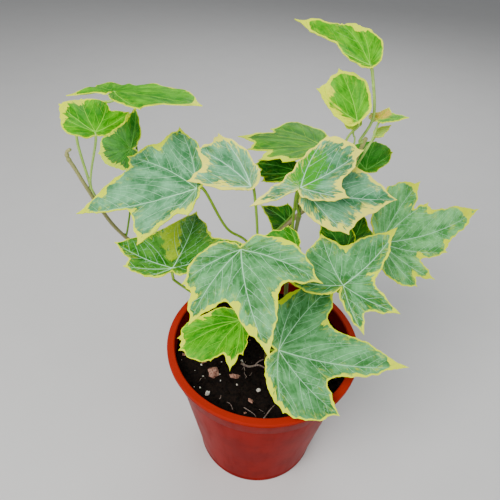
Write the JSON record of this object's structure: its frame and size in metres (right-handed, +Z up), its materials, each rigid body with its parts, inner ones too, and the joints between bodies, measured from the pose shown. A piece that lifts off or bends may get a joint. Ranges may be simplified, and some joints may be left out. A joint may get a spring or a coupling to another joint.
{
  "type": "potted ivy",
  "caption": "Variegated ivy with lobed grey-green leaves edged in yellow and cream, trailing vines and dark potting mix, in a round tapered red plastic nursery pot.",
  "frame": {"origin": "middle of the pot's underside, on the surface the pot stands on", "axes": "+Z up along the pot's axis; the front of the pot, where the lowest leaves hang over the rim, is -Y; +X is to the right seen from the front"},
  "size_m": [0.2108, 0.1165, 0.234],
  "materials": {
    "pot": "semi-gloss moulded red plastic",
    "soil": "damp dark peat potting mix, matt",
    "leaf_grey_gold": "grey-green blade with a yellow margin, waxy satin",
    "leaf_cream": "grey-green blade with a wide cream margin, waxy satin",
    "leaf_young": "fresh bright green blade with a yellow margin, satin",
    "leaf_deep": "deep green blade in shade, satin",
    "vine": "thin green-brown bark",
    "bark": "dry broken bark, matt",
    "perlite": "rough white expanded mineral, matt",
    "twig": "dry grey twig, matt"
  },
  "bodies": {
    "root": {"pot": "pot", "soil": "soil", "leaf_front_middle": "leaf_grey_gold", "leaf_front_right": "leaf_grey_gold", "leaf_big_left": "leaf_grey_gold", "leaf_right": "leaf_grey_gold", "leaf_far_right": "leaf_grey_gold", "leaf_low_left": "leaf_grey_gold", "leaf_cream_lower": "leaf_cream", "leaf_cream_upper": "leaf_cream", "leaf_upper_middle": "leaf_cream", "leaf_left_bright": "leaf_young", "leaf_left_long": "leaf_young", "leaf_left_curled": "leaf_young", "leaf_crown": "leaf_young", "leaf_yellow_upper": "leaf_young", "leaf_new_side": "leaf_young", "leaf_new_small": "leaf_young", "leaf_bud": "leaf_young", "leaf_low_front": "leaf_young", "leaf_inner_left": "leaf_young", "leaf_top_shadow": "leaf_deep", "leaf_back_dark": "leaf_deep", "leaf_behind_right": "leaf_deep", "leaf_inner_right": "leaf_deep", "leaf_inner_back": "leaf_deep", "leaf_inner_side": "leaf_deep", "vine_left": "vine", "vine_right": "vine", "vine_middle": "vine", "vine_front": "vine", "vine_side": "vine", "bark_chip_large": "bark", "bark_chip_pale": "bark", "bark_chip_long": "bark", "bark_chip_left": "bark", "perlite_large": "perlite", "perlite_small": "perlite", "twig": "twig"}
  },
  "joints": []
}
